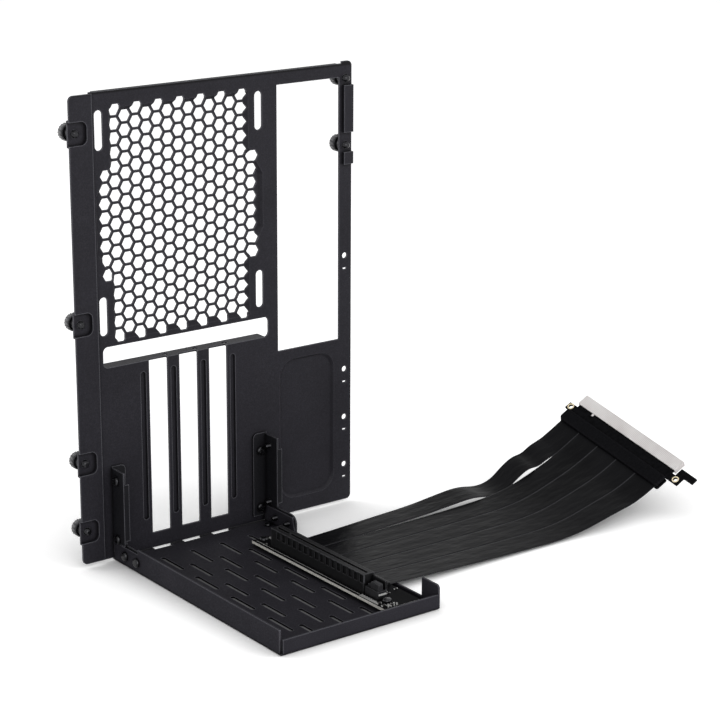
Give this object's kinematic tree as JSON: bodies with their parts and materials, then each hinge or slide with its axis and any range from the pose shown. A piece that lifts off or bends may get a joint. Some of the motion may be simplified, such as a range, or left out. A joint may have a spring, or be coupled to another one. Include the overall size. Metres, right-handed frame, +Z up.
{
  "type": "vertical gpu bracket",
  "caption": "Upright computer card bracket: rear panel with a hexagon grille, card slots and port opening, vented tray, riser slot and flat cable with an edge plug.",
  "frame": {"origin": "on the underside of the tray, between the two middle columns of vents, halfway along the tray", "axes": "+X along the rear panel towards the column and the cable's plug, +Y from the tray to the rear panel, +Z up"},
  "size_m": [0.3456, 0.1775, 0.273],
  "materials": {
    "panel_metal": "fine textured black powder coat",
    "tray_metal": "fine textured black powder coat",
    "screw_metal": "satin black",
    "slot_plastic": "matte black",
    "retainer_plastic": "matte dark grey",
    "board_laminate": "black solder mask",
    "contact_metal": "gold plated",
    "ring_metal": "tinned",
    "cable_film": "satin black film",
    "shell_plastic": "matte black",
    "cap_plastic": "pale translucent plastic"
  },
  "bodies": {
    "root": {"rear_panel": "panel_metal", "tray": "tray_metal", "left_bracket": "tray_metal", "right_bracket": "tray_metal", "thumb_screw_left_1": "screw_metal", "thumb_screw_left_2": "screw_metal", "thumb_screw_left_3": "screw_metal", "thumb_screw_left_4": "screw_metal", "thumb_screw_right_1": "screw_metal", "thumb_screw_right_2": "screw_metal", "left_leg_screws": "screw_metal", "left_web_screws": "screw_metal", "left_foot_screws": "screw_metal", "right_leg_screws": "screw_metal", "right_web_screws": "screw_metal", "right_foot_screws": "screw_metal", "riser_board": "board_laminate", "board_spacers": "ring_metal", "board_screws": "screw_metal", "slot_housing": "slot_plastic", "slot_contacts": "contact_metal", "slot_retainer": "retainer_plastic", "cable_bar": "slot_plastic", "plug_board": "board_laminate", "ear_rings": "ring_metal", "plug_shell_upper": "shell_plastic", "plug_shell_lower": "shell_plastic", "plug_filler": "shell_plastic", "contact_cap": "cap_plastic", "cable_strip_1": "cable_film", "cable_strip_2": "cable_film", "cable_strip_3": "cable_film", "cable_strip_4": "cable_film", "cable_strip_5": "cable_film"}
  },
  "joints": []
}
